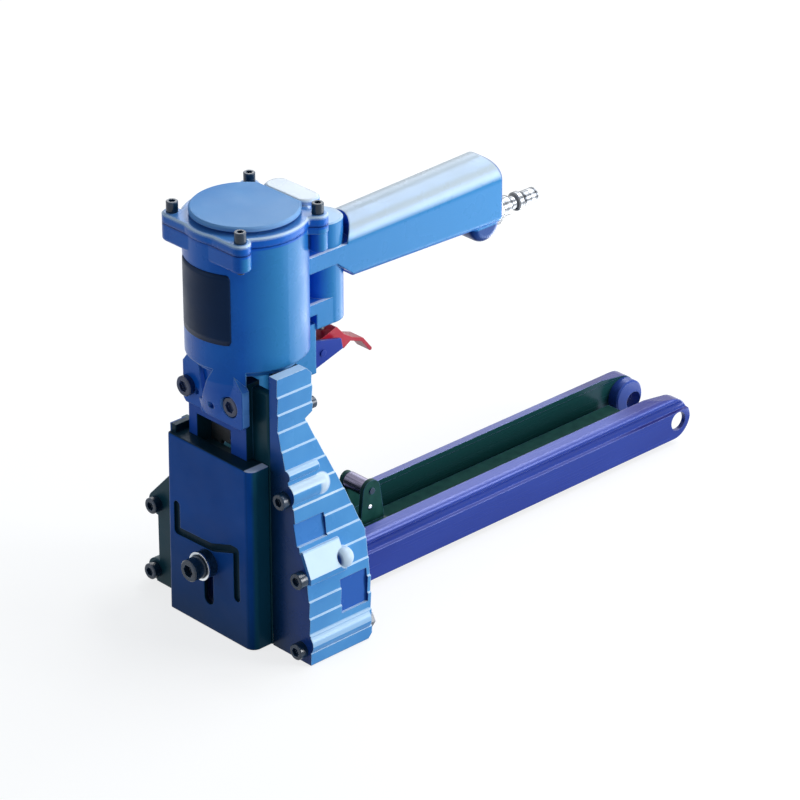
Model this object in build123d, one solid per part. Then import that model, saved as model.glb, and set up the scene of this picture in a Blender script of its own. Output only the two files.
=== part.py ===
from build123d import *
import math
import os

# Pneumatic carton stapler for 35 mm crown staples, in millimetres.
# X runs across the tool, +Y to the rear along the magazine and +Z up the cylinder.
# The origin is where the staple leaves: on the foot plane, under the cylinder axis.

# Cylinder, cap and piston
SCREW_HALF = 29.0
CYL_R = 36.0
CYL_BOTTOM = 174.0
CYL_TOP = 251.0
FLOOR_BOTTOM = 170.0
FLOOR_R = 32.0
FLOOR_TOP = 176.0
SLEEVE_OUT_R = 30.5
SLEEVE_IN_R = 28.0
GASKET_T = 0.8
CAP_T = 5.8
PISTON_TOP = 244.0
PISTON_T = 14.0
ROD_R = 7.0
BUMPER_TOP = 188.0
SPIGOT_R = 5.0
FIT = 0.05

# Handle, valve column and trigger
COLUMN_Y = 57.0
COLUMN_R = 13.2
COLUMN_TOP = 238.0
COLUMN_BOTTOM = 174.5
LUG_BACK = 42.0
HANDLE_END = 190.5
HANDLE_W = 15.2
PLUG_Z = 197.5
PIVOT_Y = 49.0
PIVOT_Z = 156.0
STEM_R = 3.0
STEM_LOW = 164.8
STEM_TIP_R = 2.0
STEM_TIP_TOP = 170.5

# Frames that carry the drive
FRAME_X = 39.5
FRAME_FRONT = -19.0
FRAME_T = 5.7
PAD_FRONT = -24.0
PAD_X = 25.0
FRAME_TOP = 163.0
PAD_TOP = 165.5
LEFT_TOP = 119.6
REAR_FRONT = 13.4
REAR_BACK = 19.0
REAR_NECK_X = 26.0
THROAT_TOP = 68.0
NOSE_X = 20.6
FLANGE_FRONT = -27.2
FLANGE_LOW = 139.0
FLANGE_LEFT = -25.5
FLANGE_RIGHT = 28.2
FLANGE_SWELL = 2.0
NECK_SCREW_X = (-21.2, 17.0)
NECK_SCREW_Z = 150.6
SPOT_DEPTH = 2.0

# Driver, yoke and clinchers
STAPLE_X = 18.7
BLADE_X = 18.4
BLADE_T = 2.0
BLADE_LOW = 42.0
YOKE_TOP = 138.0
YOKE_LOW = 114.0
CLINCH_X = 26.0
CLINCH_Z = 24.0
CLINCH_SWING = 80.2
ROLLER_ARM = 24.5
ROLLER_R = 3.0
STROKE = 2 * ROLLER_ARM * math.tan(math.radians(CLINCH_SWING / 2))
CLINCH_IN_R = 31.5
CLINCH_OUT_R = 37.0
CLINCH_FRONT = -9.5
CLINCH_BACK = -3.1
CLINCH_PIN_R = 4.0

# Side housings
HOUSE_IN = 39.6
HOUSE_TOP = 175.0
HOUSE_WALL = 4.5
HOUSE_BACK = 29.0
FIN_PITCH = 11.1
FIN_STEP = 0.9
FIN_DROP = 0.8
BOLT_R = 3.0
UPPER_BOLT = (52.0, 101.0)
MID_BOLT = (66.0, 55.0)
LEFT_MID_BOLT = (62.5, 53.5)
LOW_BOLT = (65.0, 8.0)

# Depth plate on the front
PLATE_RIGHT = 38.4
PLATE_LEFT = -34.4
PLATE_FOOT_LEFT = -36.0
PLATE_FRONT = -33.5
PLATE_TOP = 117.5
PLATE_LOW = 0.4
PLATE_WALL = 2.5
KNOB_Z = 44.5
KNOB_COLLAR_T = 5.8
KNOB_WASHER_T = 1.2
SLOT_LOW = 20.5
SLOT_W = 8.0

# Magazine and pusher
RAIL_OUT = 28.0
RAIL_LOW = 3.5
RAIL_TOP = 34.9
CHANNEL_X = 19.2
MAG_FRONT = 19.3
TAIL_Y = 334.5
TAIL_END = 348.8
TAIL_HOLE_R = 6.3
TAIL_HOLE = (338.0, 15.3)
CORE_TOP = 18.0
CORE_END = 318.0
PUSHER_FRONT = 2.2
PUSHER_BACK = 99.0
FEED_Y = 86.0
FEED_Z = 52.0


# Small makers shared by the pieces
def block(x0, x1, y0, y1, z0, z1):
    return Pos((x0 + x1) / 2, (y0 + y1) / 2, (z0 + z1) / 2) * Box(x1 - x0, y1 - y0, z1 - z0)


def bar_x(r, x0, x1, y, z):
    return Pos((x0 + x1) / 2, y, z) * Rot(0, 90, 0) * Cylinder(r, x1 - x0)


def bar_y(r, x, y0, y1, z):
    return Pos(x, (y0 + y1) / 2, z) * Rot(90, 0, 0) * Cylinder(r, y1 - y0)


def bar_z(r, x, y, z0, z1):
    return Pos(x, y, (z0 + z1) / 2) * Cylinder(r, z1 - z0)


def prism_x(face, x0, x1):
    return extrude(Plane.YZ.offset(x0) * face, amount=x1 - x0)


def prism_y(face, y0, y1):
    return extrude(Plane.XZ.offset(-y0) * face, amount=y0 - y1)


def prism_z(face, z0, z1):
    return extrude(Plane.XY.offset(z0) * face, amount=z1 - z0)


def outline(*points):
    return make_face(Polyline(*points, close=True))


def spun_y(profile, x, z):
    """A turned piece along Y: profile holds (radius, y) points."""
    turned = revolve(Plane.XY * outline(*profile), Axis.Y)
    return Pos(x, 0, z) * turned


def socket_screw(head_r, head_h, shank_r, shank_l):
    """A cap screw standing on its head's seat, with its shank going down."""
    screw = Pos(0, 0, head_h / 2) * Cylinder(head_r, head_h)
    screw = chamfer(screw.edges().group_by(Axis.Z)[-1], head_r * 0.1)
    socket = extrude(Plane.XY.offset(head_h * 0.5) * RegularPolygon(head_r * 0.6, 6), amount=head_h)
    return screw - socket + Pos(0, 0, -shank_l / 2) * Cylinder(shank_r, shank_l)


def front_screw(x, y, z, *sizes):
    return Pos(x, y, z) * Rot(90, 0, 0) * socket_screw(*sizes)


def corners():
    return [(sx * SCREW_HALF, sy * SCREW_HALF) for sx in (-1, 1) for sy in (-1, 1)]


def mirrored(solid):
    return mirror(solid, Plane.YZ)


def pair(solid):
    return [solid, mirrored(solid)]


def save(name, *solids):
    shape = solids[0] if len(solids) == 1 else Compound(children=list(solids))
    export_step(shape, "parts/" + name + ".step")


# The casting: cylinder with screw ears, valve column, webs, handle and front flange
EAR_R = 6.0
EAR_LOW = 240.5
EAR_BOSS_R = 5.5
EAR_BOSS_LOW = 235.0
EAR_STRAIGHT = 8.0
EAR_INWARD = 0.655


def ear_face(x, y):
    """Front ears have one straight front edge, rear ears run in to the axis."""
    tip = Pos(x, y) * Circle(EAR_R)
    if y < 0:
        root = Pos(math.copysign(EAR_STRAIGHT, x), y) * Circle(EAR_R)
    else:
        root = Pos(x * EAR_INWARD, y * EAR_INWARD) * Circle(EAR_R + 1)
    return make_hull(tip.edges() + root.edges())


def make_ear(x, y):
    if y < 0:
        ear = prism_z(ear_face(x, y), EAR_LOW, CYL_TOP)
        return fillet(ear.edges().group_by(Axis.Z)[0], 2.0)
    boss = bar_z(EAR_BOSS_R, x, y, EAR_BOSS_LOW, CYL_TOP)
    boss = fillet(boss.edges().group_by(Axis.Z)[0], 1.5)
    return boss + prism_z(ear_face(x, y), CYL_TOP - 4, CYL_TOP)


def handle_section(y, low, shoulder, half):
    edge = 4.0
    k = edge * (1 - math.sqrt(0.5))
    right = ThreePointArc((half - edge, low), (half - k, low + k), (half, low + edge))
    left = ThreePointArc((-half, low + edge), (k - half, low + k), (edge - half, low))
    crest = ThreePointArc((half, shoulder), (0, shoulder + half), (-half, shoulder))
    bottom = Line((edge - half, low), (half - edge, low))
    up = Line((half, low + edge), (half, shoulder))
    down = Line((-half, shoulder), (-half, low + edge))
    return Plane.XZ.offset(-y) * make_face([bottom, right, up, crest, down, left])


WEB_TOP = 222.0
WEB_LOW = 212.0
GROOVE_R = 16.5
END_ROUND = 3.0
HEEL_FOOT = (179.5, 186.6)
HEEL_ROUND = 5.0


def make_handle():
    start = COLUMN_Y - 6
    front = handle_section(start, 199.8, 220.5, HANDLE_W - 0.4)
    back = handle_section(HANDLE_END, 196.8, 223.6, HANDLE_W + 0.6)
    grip = loft([front, back], ruled=True)
    round_r = 16.0
    trim_low = 180.0
    crown = 241.0
    side = make_face([
        Line((start - 2, trim_low), (HANDLE_END, trim_low)),
        Line((HANDLE_END, trim_low), (HANDLE_END, crown - round_r)),
        RadiusArc((HANDLE_END, crown - round_r), (HANDLE_END - round_r, crown), -round_r),
        Line((HANDLE_END - round_r, crown), (start - 2, crown)),
        Line((start - 2, crown), (start - 2, trim_low)),
    ])
    grip = grip & prism_x(side, -HANDLE_W - 3, HANDLE_W + 3)
    grip -= bar_z(GROOVE_R, 0, COLUMN_Y, WEB_TOP, crown)
    throat = outline(
        (start - 3, trim_low), (71, trim_low), (71, 200.3), (COLUMN_Y, WEB_LOW), (start - 3, WEB_LOW))
    grip -= prism_x(throat, -HANDLE_W - 3, HANDLE_W + 3)
    grip = fillet(grip.edges().group_by(Axis.Y)[-1], END_ROUND)
    heel_front = (167.0, 200.0)
    heel_back = (189.8, 200.0)
    heel = make_face([ThreePointArc(heel_front, HEEL_FOOT, heel_back), Line(heel_back, heel_front)])
    heel = prism_x(heel, -HANDLE_W + 1, HANDLE_W - 1)
    sides = heel.edges().group_by(Axis.X)
    rims = [e for e in sides[0] + sides[-1] if e.geom_type == GeomType.CIRCLE]
    return grip + fillet(rims, HEEL_ROUND)


def make_column():
    web_front = 20.0
    upper_half = HANDLE_W - 0.4
    lower_half = 13.0
    column = bar_z(COLUMN_R, 0, COLUMN_Y, COLUMN_BOTTOM, COLUMN_TOP)
    column = chamfer(column.edges().group_by(Axis.Z)[-1], 0.8)
    column += block(-upper_half, upper_half, web_front, COLUMN_Y, WEB_LOW, WEB_TOP)
    column += block(-lower_half, lower_half, web_front, COLUMN_Y, 184.0, 191.0)
    column += block(-lower_half, lower_half, LUG_BACK, COLUMN_Y, COLUMN_BOTTOM, 185.0)
    return column + block(-14, 14, web_front, 44.0, 236.0, CYL_TOP)


SKIRT_KNEE = 166.0
SPOT_R = 6.6
SWELL_FRONT = FLANGE_FRONT - FLANGE_SWELL
SWELL_LEFT = -8.0
FLANGE_HOLES = ((-14.0, 149.0, 1.9), (3.0, 147.5, 2.3))


def make_skirt():
    """The barrel's wall carried down over the right of the flange and drawn in to it."""
    drawn_in = outline(
        (0, FLOOR_TOP), (CYL_R, FLOOR_TOP), (CYL_R, SKIRT_KNEE), (-SWELL_FRONT, FLANGE_LOW), (0, FLANGE_LOW))
    skirt = revolve(Plane.XZ * drawn_in, Axis.Z)
    return skirt & block(SWELL_LEFT, FLANGE_RIGHT - 2, -CYL_R - 1, PAD_FRONT - FIT, FLANGE_LOW, FLOOR_TOP)


def make_flange():
    """The flange under the cylinder that is screwed to the frame, with a wedge-shaped hollow."""
    corner = 2.0
    root = 17.0
    right_edge = [
        (FLANGE_RIGHT - corner, FLANGE_LOW), (FLANGE_RIGHT, FLANGE_LOW + corner), (FLANGE_RIGHT, 163.0),
        (root, FLOOR_TOP)]
    left_edge = [
        (-root, FLOOR_TOP), (FLANGE_LEFT, 165.0), (FLANGE_LEFT, FLANGE_LOW + corner),
        (FLANGE_LEFT + corner, FLANGE_LOW)]
    flange = prism_y(outline(*right_edge, *left_edge), FLANGE_FRONT, PAD_FRONT - FIT)
    swell = outline(*right_edge, (SWELL_LEFT, FLOOR_TOP), (SWELL_LEFT, FLANGE_LOW))
    flange += prism_y(swell, SWELL_FRONT, FLANGE_FRONT)
    flange += make_skirt()
    hollow = outline((-13.0, CYL_BOTTOM), (9.5, CYL_BOTTOM), (-5.0, 148.5), (-8.0, 148.5))
    flange -= prism_y(hollow, -CYL_R - 1, FLANGE_FRONT + 2.6)
    flange -= bar_y(SPOT_R, NECK_SCREW_X[1], -CYL_R - 1, FLANGE_FRONT + SPOT_DEPTH, NECK_SCREW_Z)
    for x in NECK_SCREW_X:
        flange -= bar_y(3.1, x, FLANGE_FRONT - 1, PAD_FRONT, NECK_SCREW_Z)
    for x, z, r in FLANGE_HOLES:
        flange -= bar_y(r, x, -CYL_R - 1, PAD_FRONT, z)
    return flange


def make_casting():
    body = bar_z(CYL_R, 0, 0, CYL_BOTTOM, CYL_TOP)
    body += bar_z(FLOOR_R, 0, 0, FLOOR_BOTTOM, CYL_BOTTOM)
    for x, y in corners():
        body += make_ear(x, y)
    body += make_column() + make_handle() + make_flange()
    body += block(-12, 12, 20.0, LUG_BACK, 146.0, FLOOR_TOP + 2)
    body += bar_z(13.0, 0, 0, 148.0, FLOOR_TOP)
    body -= bar_z(SLEEVE_OUT_R + FIT, 0, 0, FLOOR_TOP, CYL_TOP + 1)
    body -= bar_z(10.0 + FIT, 0, 0, 140.0, FLOOR_TOP + 1)
    body -= bar_z(7.5 + FIT, 0, COLUMN_Y, COLUMN_BOTTOM - 1, 200.0)
    body -= bar_y(6.5 + FIT, 0, 168.0, HANDLE_END + 1, PLUG_Z)
    for x, y in corners():
        body -= bar_z(2.1, x, y, 237.5, CYL_TOP + 1)
    return body


# The cap with its ears and rear tongue, the cover over its outlet, and their gasket and screws
CAP_RIM = 0.8
COVER_R = 32.0
COVER_T = 2.8
COVER_CHORD = 26.4
COVER_SEAT = 2.0


def cap_face(r):
    face = Circle(r) + Pos(0, 32) * RectangleRounded(38, 25, 8)
    for x, y in corners():
        face += ear_face(x, y)
    return face


def make_gasket():
    gasket = prism_z(cap_face(CYL_R - 0.6), CYL_TOP, CYL_TOP + GASKET_T)
    gasket -= bar_z(SLEEVE_IN_R, 0, 0, CYL_TOP - 1, CYL_TOP + 2)
    for x, y in corners():
        gasket -= bar_z(2.1, x, y, CYL_TOP - 1, CYL_TOP + 2)
    return gasket


def make_cap():
    low = CYL_TOP + GASKET_T
    top = low + CAP_T
    cap = prism_z(cap_face(CYL_R + CAP_RIM), low, top)
    cap = chamfer(cap.edges().group_by(Axis.Z)[-1], 0.8)
    tongue = Pos(0, 35.6) * RectangleRounded(38, 16, 7)
    tongue = prism_z(tongue, top - 1, top + 3.4)
    tongue = chamfer(tongue.edges().group_by(Axis.Z)[-1], 1.2)
    seat = bar_z(COVER_R - 7, 0, 0, top - 1, top + COVER_SEAT)
    cap += tongue + seat
    for x, y in corners():
        cap -= bar_z(2.1, x, y, low - 1, top + 1)
    return cap


def make_cover():
    low = CYL_TOP + GASKET_T + CAP_T + COVER_SEAT
    cover = bar_z(COVER_R, 0, 0, low, low + COVER_T)
    cover -= block(-COVER_R, COVER_R, COVER_CHORD, COVER_R + 1, low - 1, low + COVER_T + 1)
    return chamfer(cover.edges().group_by(Axis.Z)[-1], 0.9)


def make_cap_screws():
    seat = CYL_TOP + GASKET_T + CAP_T
    return [Pos(x, y, seat) * socket_screw(3.5, 6.6, 2.0, 19.0) for x, y in corners()]


# Inside the cylinder: sleeve, rubber bumper, rod bush, piston with seal, rod and nut
def make_ring(out_r, in_r, z0, z1):
    return bar_z(out_r, 0, 0, z0, z1) - bar_z(in_r, 0, 0, z0 - 1, z1 + 1)


def make_bumper():
    bumper = make_ring(24.0, 11.0, FLOOR_TOP, BUMPER_TOP)
    return chamfer(bumper.edges().group_by(Axis.Z)[-1], 2.0)


def make_rod_bush():
    return make_ring(10.0, ROD_R + FIT, 150.0, FLOOR_TOP)


SEAL_W = 5.0
SEAL_LOW = PISTON_TOP - 9.5


def make_piston():
    piston = bar_z(SLEEVE_IN_R - 0.3, 0, 0, PISTON_TOP - PISTON_T, PISTON_TOP)
    piston = chamfer(piston.edges().filter_by(GeomType.CIRCLE), 1.0)
    groove = make_ring(SLEEVE_IN_R + 1, SLEEVE_IN_R - 4, SEAL_LOW, SEAL_LOW + SEAL_W)
    return piston - groove - bar_z(SPIGOT_R, 0, 0, 200.0, PISTON_TOP + 1)


def make_piston_seal():
    return make_ring(SLEEVE_IN_R - FIT, SLEEVE_IN_R - 4, SEAL_LOW, SEAL_LOW + SEAL_W)


def make_rod():
    rod = bar_z(ROD_R, 0, 0, YOKE_TOP, PISTON_TOP - PISTON_T)
    rod += bar_z(SPIGOT_R, 0, 0, PISTON_TOP - PISTON_T, PISTON_TOP + 4.5)
    return rod + bar_z(SPIGOT_R, 0, 0, YOKE_TOP - 14, YOKE_TOP)


def make_piston_nut():
    nut = prism_z(RegularPolygon(9.2, 6), PISTON_TOP, PISTON_TOP + 5.0)
    return nut - bar_z(SPIGOT_R, 0, 0, PISTON_TOP - 1, PISTON_TOP + 6)


# Yoke: a crosshead on the rod with two legs that spread to the clincher rollers
LEG_FRONT = -12.9
LEG_BACK = -10.0
LEG_R = 6.5
ROLLER_X = CLINCH_X + ROLLER_ARM
ROLLER_Z = CLINCH_Z + STROKE / 2


def make_yoke():
    head = block(-21, 21, LEG_FRONT, 7.0, YOKE_LOW, YOKE_TOP)
    head = chamfer(head.edges().filter_by(Axis.Y), 3.0)
    knee = Pos(13, YOKE_LOW + 9) * Circle(LEG_R + 1)
    ankle = Pos(ROLLER_X, ROLLER_Z) * Circle(LEG_R)
    leg = prism_y(make_hull(knee.edges() + ankle.edges()), LEG_FRONT, LEG_BACK)
    yoke = head + leg + mirrored(leg)
    yoke -= bar_z(SPIGOT_R, 0, 0, YOKE_TOP - 14, YOKE_TOP + 1)
    slot_x = BLADE_X + FIT
    slot_y = BLADE_T / 2 + FIT
    yoke -= block(-slot_x, slot_x, -slot_y, slot_y, YOKE_LOW - 1, YOKE_LOW + 9)
    yoke -= bar_y(2.0 + FIT, 0, LEG_FRONT - 1, 8, YOKE_LOW + 4)
    for x in (-ROLLER_X, ROLLER_X):
        yoke -= bar_y(2.0 + FIT, x, LEG_FRONT - 1, LEG_BACK + 1, ROLLER_Z)
    return yoke


def make_roller():
    stud = bar_y(2.0, ROLLER_X, LEG_FRONT, LEG_BACK + 1, ROLLER_Z)
    return stud + bar_y(ROLLER_R, ROLLER_X, LEG_BACK + 0.1, CLINCH_BACK - 0.3, ROLLER_Z)


def make_blade():
    half = BLADE_T / 2
    blade = block(-BLADE_X, BLADE_X, -half, half, BLADE_LOW, YOKE_LOW + 8.5)
    for x in (-BLADE_X, BLADE_X):
        blade -= block(x - 4.5, x + 4.5, -2, 2, 88.0, YOKE_LOW - 3)
    return blade - bar_y(2.0 + FIT, 0, -2, 2, YOKE_LOW + 4)


def make_blade_pin():
    return bar_y(2.0, 0, LEG_FRONT + 0.3, 6.7, YOKE_LOW + 4)


# Clincher: a sickle that swings about its pin, with a fork round the yoke's roller
FORK_GAP = 4.45
FORK_WALL = 4.0
FORK_END = 36.0
TIP_ANGLE = -36.1
BAND_ANGLE = 24.0
PAD_SPAN = 11.0
TIP_BACK = 3.0


def polar(r, degrees):
    a = math.radians(degrees)
    return r * math.cos(a), r * math.sin(a)


def band_face(low, high):
    mid = (low + high) / 2
    out = ThreePointArc(polar(CLINCH_OUT_R, low), polar(CLINCH_OUT_R, mid), polar(CLINCH_OUT_R, high))
    inner = ThreePointArc(polar(CLINCH_IN_R, high), polar(CLINCH_IN_R, mid), polar(CLINCH_IN_R, low))
    return make_face([out, Line(out @ 1, inner @ 0), inner, Line(inner @ 1, out @ 0)])


def make_clincher():
    lean = CLINCH_SWING / 2
    width = 2 * (FORK_GAP + FORK_WALL)
    arm = Rot(0, 0, lean) * Pos(FORK_END / 2, 0) * Rectangle(FORK_END, width)
    slot = Rot(0, 0, lean) * Pos(FORK_END / 2 + 21.0, 0) * SlotOverall(FORK_END, 2 * FORK_GAP)
    spoke = Rot(0, 0, 6.0) * Pos(CLINCH_IN_R / 2 + 1, 0) * Rectangle(CLINCH_IN_R + 2, 10)
    face = Circle(9.0) + arm + spoke + band_face(TIP_ANGLE, BAND_ANGLE) - slot - Circle(CLINCH_PIN_R + FIT)
    place = Pos(CLINCH_X, CLINCH_Z)
    sickle = prism_y(place * face, CLINCH_FRONT, CLINCH_BACK)
    return sickle + prism_y(place * band_face(TIP_ANGLE, TIP_ANGLE + PAD_SPAN), CLINCH_FRONT, TIP_BACK)


def make_clincher_pin():
    pin = bar_y(CLINCH_PIN_R, CLINCH_X, FRAME_FRONT + 0.6, REAR_BACK - 0.5, CLINCH_Z)
    return chamfer(pin.edges().filter_by(GeomType.CIRCLE), 0.5)


def make_clincher_spacer(y0, y1):
    ring = bar_y(5.0, CLINCH_X, y0, y1, CLINCH_Z)
    return ring - bar_y(CLINCH_PIN_R + FIT, CLINCH_X, y0 - 1, y1 + 1, CLINCH_Z)


# Frames: front frame with its guide pad, rear frame with the staple throat, thin nose plate
WINDOW_X = (-18.0, 11.5)
WINDOW_Z = (112.0, 132.0)
COLUMN_EDGE_R = 2.5


def make_front_frame():
    back = FRAME_FRONT + FRAME_T
    column = block(PAD_X - 1, FRAME_X, FRAME_FRONT, back, 0, FRAME_TOP)
    column = fillet(column.edges().filter_by(Axis.Z).group_by(Axis.Y)[0].sort_by(Axis.X)[-1], COLUMN_EDGE_R)
    column = chamfer(column.edges().group_by(Axis.Z)[-1], 1.0)
    wing = block(-FRAME_X, 1 - PAD_X, FRAME_FRONT, back, 0, LEFT_TOP)
    wing = fillet(wing.edges().filter_by(Axis.Z).group_by(Axis.Y)[0].sort_by(Axis.X)[0], COLUMN_EDGE_R)
    frame = block(-PAD_X, PAD_X, PAD_FRONT, back, 0, PAD_TOP) + column + wing
    frame += bar_y(8.0, 0, PLATE_FRONT + PLATE_WALL + 0.3, PAD_FRONT + 1, KNOB_Z)
    frame -= block(*WINDOW_X, PAD_FRONT - 1, back + 1, *WINDOW_Z)
    frame -= bar_y(3.0 + FIT, 0, PLATE_FRONT, back + 1, KNOB_Z)
    for x in (-CLINCH_X, CLINCH_X):
        frame -= bar_y(CLINCH_PIN_R, x, FRAME_FRONT + 0.6, back + 1, CLINCH_Z)
    for x in NECK_SCREW_X:
        frame -= bar_y(3.0, x, PAD_FRONT - 1, back + 1, NECK_SCREW_Z)
    return frame


def make_rear_frame():
    frame = block(-REAR_NECK_X, REAR_NECK_X, REAR_FRONT, REAR_BACK, THROAT_TOP - 1, FRAME_TOP)
    frame -= block(-20, 20, REAR_FRONT - 1, REAR_BACK + 1, THROAT_TOP + 16, 132.0)
    frame += block(-FRAME_X, FRAME_X, 2.5, REAR_BACK, 0, THROAT_TOP)
    frame += block(-NOSE_X, NOSE_X, 1.3, 3.0, 0, THROAT_TOP - 2)
    frame -= block(-STAPLE_X, STAPLE_X, 1.0, REAR_BACK + 1, -1, 34.0)
    for side in (-1, 1):
        inner, outer = sorted((side * STAPLE_X, side * NOSE_X))
        frame += block(inner, outer, -1.2, 2.0, 0, THROAT_TOP - 2)
    for x in (-CLINCH_X, CLINCH_X):
        frame -= bar_y(CLINCH_PIN_R, x, 0, REAR_BACK - 0.5, CLINCH_Z)
    return frame


def make_nose_plate():
    return block(-NOSE_X, NOSE_X, -2.7, -1.2, 0, THROAT_TOP - 2)


def make_neck_screws():
    """The left screw stands on the flange, the right one sits in its spot face."""
    seats = zip(NECK_SCREW_X, (FLANGE_FRONT, FLANGE_FRONT + SPOT_DEPTH))
    return [front_screw(x, y, NECK_SCREW_Z, 6.2, 4.0, 3.0, 11.0) for x, y in seats]


# Right side housing: a finned casting that flares to the foot round the clincher
FLARE = [(46.3, HOUSE_TOP), (46.5, 141.0), (58.0, 101.0), (63.6, 70.0), (71.2, 47.0), (72.4, 0.0)]


def flare_x(z):
    for (xa, za), (xb, zb) in zip(FLARE, FLARE[1:]):
        if zb <= z <= za:
            return xa + (xb - xa) * (za - z) / (za - zb)
    return FLARE[-1][0]


def fin_points():
    points = [(flare_x(HOUSE_TOP), HOUSE_TOP)]
    z = HOUSE_TOP - FIN_PITCH
    while z > 2.0:
        points += [(flare_x(z) - FIN_STEP / 2, z), (flare_x(z) + FIN_STEP / 2, z - FIN_DROP)]
        z -= FIN_PITCH
    return points + [(flare_x(0.0), 0.0)]


def housing_pocket(y0, y1, low, high):
    knees = [z for _, z in FLARE if low < z < high]
    wall = [(flare_x(z) - HOUSE_WALL, z) for z in [high] + knees + [low]]
    return prism_y(outline((HOUSE_IN - 2, high), *wall, (HOUSE_IN - 2, low)), y0, y1)


def side_recess(y0, y1, low, high):
    """A shallow sunk panel that follows the flare."""
    depth = 1.6
    far = 90.0
    sunk = outline((flare_x(high) - depth, high), (flare_x(low) - depth, low), (far, low), (far, high))
    return prism_y(sunk, y0, y1)


def domed_bar(r, x, y, z):
    """A raised bar from the front edge that ends in a dome."""
    return bar_y(r, x, FRAME_FRONT, y, z) + Pos(x, y, z) * Sphere(r)


def housing_side(*rear_edge):
    foot = [(HOUSE_BACK, 50.0), (HOUSE_BACK, 3.0), (HOUSE_BACK - 2.6, 0), (FRAME_FRONT, 0)]
    return prism_x(outline(*rear_edge, *foot), HOUSE_IN - 1, HOUSE_IN + 50)


def make_right_housing():
    shell = prism_y(outline((HOUSE_IN, HOUSE_TOP), *fin_points(), (HOUSE_IN, 0)), FRAME_FRONT, 32.0)
    shell -= side_recess(6.0, 26.5, 25.0, 46.5)
    shell -= side_recess(FRAME_FRONT - 1, 3.0, 74.0, 88.0)
    shell += domed_bar(7.2, UPPER_BOLT[0] + 0.4, 5.0, UPPER_BOLT[1] + 3)
    shell += bar_y(3.4, UPPER_BOLT[0] + 0.6, FRAME_FRONT, 4.0, UPPER_BOLT[1] + 15)
    pad = outline((58, 71), (65.2, 71), (72.0, 56), (72.0, 52.5), (58, 50))
    shell += chamfer(prism_y(pad, FRAME_FRONT, 10.0).edges().group_by(Axis.Y)[0], 1.0).solid()
    shell += Pos(MID_BOLT[0] + 2, 10.5, MID_BOLT[1] + 4) * Sphere(6.4)
    foot_bar = bar_y(7.0, LOW_BOLT[0] + 2.4, FRAME_FRONT, 27.0, 13.0)
    shell += foot_bar & block(30, 90, -40, 40, 0, 40)
    top_edge = HOUSE_TOP - 4.0
    shell = shell & housing_side(
        (FRAME_FRONT, HOUSE_TOP), (3.5, HOUSE_TOP), (7.5, top_edge), (7.5, 146.5), (2.2, 143.5), (31.5, 68.0))
    shell -= housing_pocket(-13.5, 5.0, -1.0, 84.0)
    shell -= housing_pocket(-14.0, -1.5, 124.0, 168.0)
    shell -= housing_pocket(9.0, 25.0, 5.0, 60.0)
    for (x, z), back in ((UPPER_BOLT, 3.0), (MID_BOLT, 9.0), (LOW_BOLT, 40.0)):
        shell -= bar_y(BOLT_R + FIT, x, FRAME_FRONT - 1, back, z)
    return shell - bar_y(2.0 + FIT, 43.0, -1.0, 9.0, 150.0)


# Left side housing: a low cover with two bolt bosses and a blister round the clincher
def make_left_housing():
    """Drawn on the +X side, to be mirrored."""
    lip = outline(
        (HOUSE_IN, 0), (65, 0), (62, 16), (62, 46), (67.8, 58.8), (50.8, 76.6), (44.5, 90), (HOUSE_IN, 92))
    blister = outline((HOUSE_IN, 0), (66.5, 0), (66.5, 50), (50, 75), (43.5, 90), (HOUSE_IN, 91))
    lip_back = -13.5
    shell = prism_y(lip, FRAME_FRONT, lip_back) + prism_y(blister, lip_back, 32.0)
    shell += bar_y(7.5, LEFT_MID_BOLT[0], FRAME_FRONT, 10.0, LEFT_MID_BOLT[1])
    shell += bar_y(7.0, LOW_BOLT[0], FRAME_FRONT, HOUSE_BACK, LOW_BOLT[1])
    shell = shell & housing_side((FRAME_FRONT, 96), (20, 96), (31.5, 68.0))
    room = outline(
        (HOUSE_IN - 2, -1), (60.8, -1), (60.8, 9.5), (63.7, 13.5), (63.7, 44), (57, 52), (47.5, 72),
        (41, 86), (HOUSE_IN - 2, 86))
    shell -= prism_y(room, lip_back, 5.0)
    back_room = outline((HOUSE_IN - 2, 17), (62, 17), (62, 44), (52, 60), (HOUSE_IN - 2, 60))
    shell -= prism_y(back_room, 9.0, 25.0)
    for (x, z), back in ((LEFT_MID_BOLT, 9.0), (LOW_BOLT, 40.0)):
        shell -= bar_y(BOLT_R + FIT, x, FRAME_FRONT - 1, back, z)
    return shell


def make_housing_bolts():
    def bolt(place, length):
        x, z = place
        return front_screw(x, FRAME_FRONT, z, 5.0, 5.5, BOLT_R, length)

    right = [bolt(UPPER_BOLT, 22.0), bolt(MID_BOLT, 28.0)]
    return right + [mirrored(bolt(LEFT_MID_BOLT, 28.0))] + pair(bolt(LOW_BOLT, 53.5))


def make_housing_nut():
    x, z = LOW_BOLT
    nut = Pos(x, HOUSE_BACK, z) * Rot(-90, 0, 0) * extrude(RegularPolygon(5.7, 6), amount=4.6)
    return nut - bar_y(BOLT_R, x, 20, 40, z)


def make_rear_screw():
    return Pos(43.0, 7.5, 150.0) * Rot(-90, 0, 0) * socket_screw(3.6, 4.0, 2.0, 8.0)


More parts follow.
